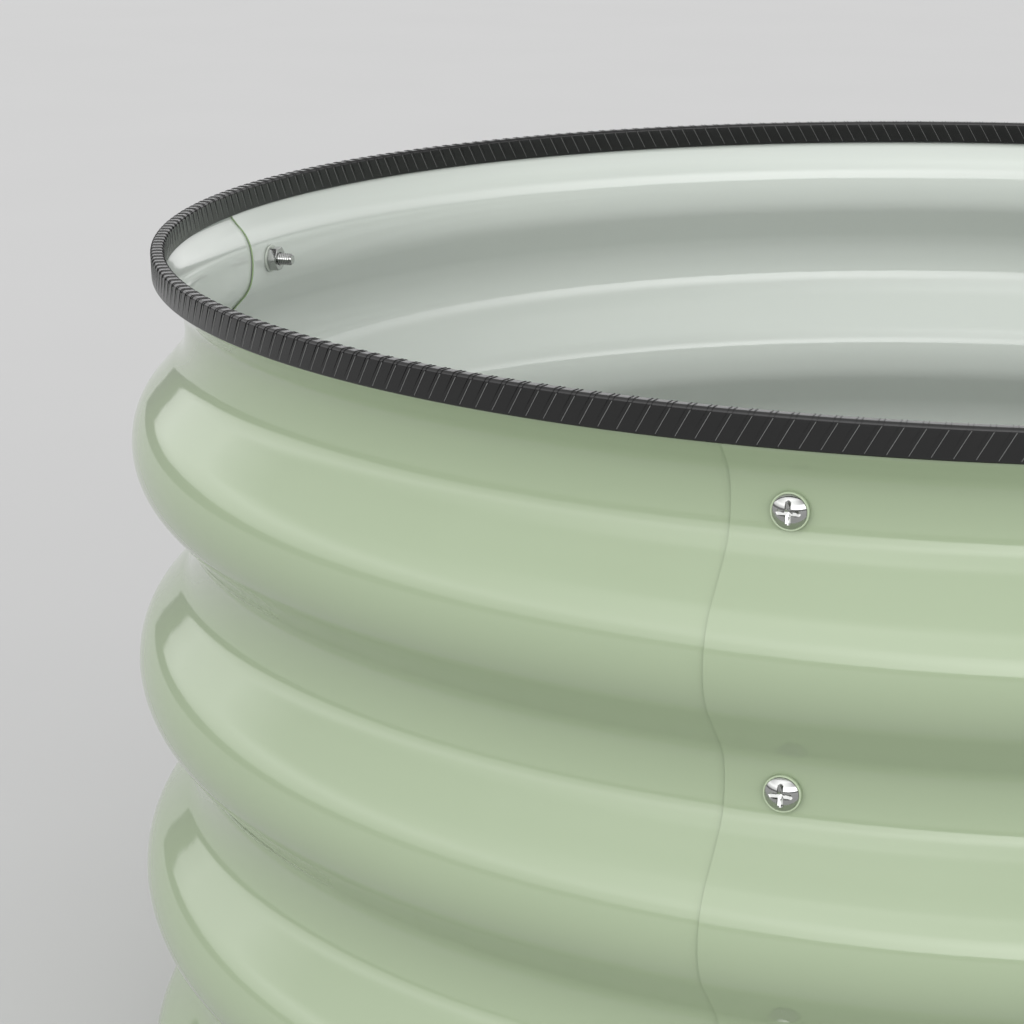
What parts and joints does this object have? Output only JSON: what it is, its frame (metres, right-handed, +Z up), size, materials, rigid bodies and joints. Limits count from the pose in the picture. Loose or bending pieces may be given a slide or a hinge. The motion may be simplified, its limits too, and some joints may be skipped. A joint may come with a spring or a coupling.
{
  "type": "raised garden bed",
  "caption": "Round raised garden bed of corrugated painted steel panels, lapped and bolted, with a rubber trim round the open rim and no floor.",
  "frame": {"origin": "centre of the ring at ground level", "axes": "+Z up; the four lap joints stand on the +X, +Y, -X and -Y axes, with the front joint at -Y"},
  "size_m": [0.7884, 0.7884, 0.43],
  "materials": {
    "panel_paint": "gloss",
    "trim_rubber": "satin",
    "core_steel": "plain",
    "bolt_steel": "polished",
    "washer_plastic": "gloss",
    "nut_steel": "polished"
  },
  "bodies": {
    "root": {"panel_front_left": "panel_paint", "panel_front_right": "panel_paint", "panel_back_right": "panel_paint", "panel_back_left": "panel_paint", "edge_trim": "trim_rubber", "trim_core": "core_steel", "front_bolts": "bolt_steel", "right_bolts": "bolt_steel", "back_bolts": "bolt_steel", "left_bolts": "bolt_steel", "front_outer_washers": "washer_plastic", "right_outer_washers": "washer_plastic", "back_outer_washers": "washer_plastic", "left_outer_washers": "washer_plastic", "front_inner_washers": "washer_plastic", "right_inner_washers": "washer_plastic", "back_inner_washers": "washer_plastic", "left_inner_washers": "washer_plastic", "front_nuts": "nut_steel", "right_nuts": "nut_steel", "back_nuts": "nut_steel", "left_nuts": "nut_steel"}
  },
  "joints": []
}
